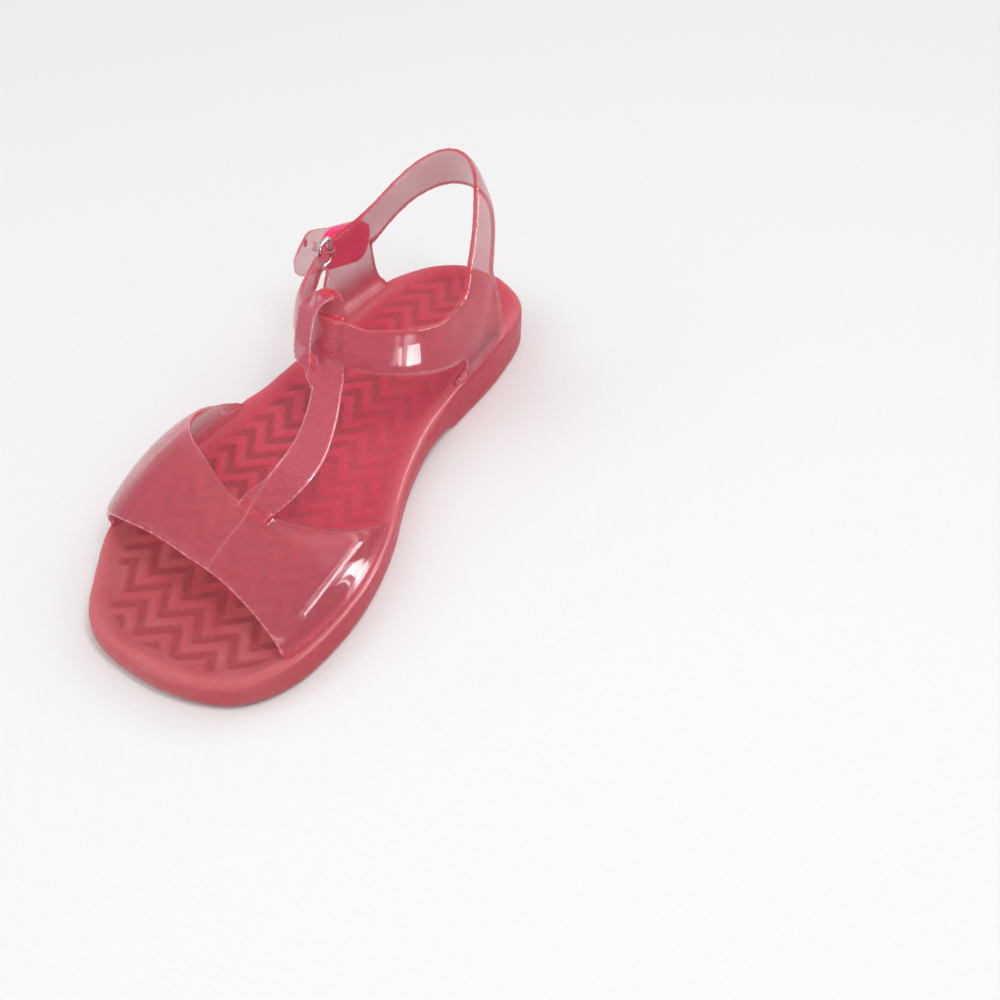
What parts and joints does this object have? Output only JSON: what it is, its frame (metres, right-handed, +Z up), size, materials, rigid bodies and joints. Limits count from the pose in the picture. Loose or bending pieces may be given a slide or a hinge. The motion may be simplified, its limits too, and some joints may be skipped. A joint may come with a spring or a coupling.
{
  "type": "jelly sandal",
  "caption": "Toddler T-strap jelly sandal for the right foot, in clear pink plastic, open at the toe and heel, closed by a hook-and-loop tab on a small metal ring.",
  "frame": {"origin": "on the floor under the middle of the sole's length and ball width", "axes": "+X towards the arch side, -Y towards the toe, +Z up; the sole's underside is z = 0"},
  "size_m": [0.0709, 0.165, 0.0606],
  "materials": {
    "sole": "clear pink soft plastic, deep colour where thick",
    "upper": "clear pink soft plastic, glossy",
    "closing_tab": "clear pink soft plastic, glossy",
    "ring": "bright silver wire",
    "loop_pad": "soft loop pile, hot pink",
    "hook_pad": "hook strip, hot pink"
  },
  "bodies": {
    "root": {"sole": "sole", "upper": "upper", "closing_tab": "closing_tab", "ring": "ring", "loop_pad": "loop_pad", "hook_pad": "hook_pad"}
  },
  "joints": []
}
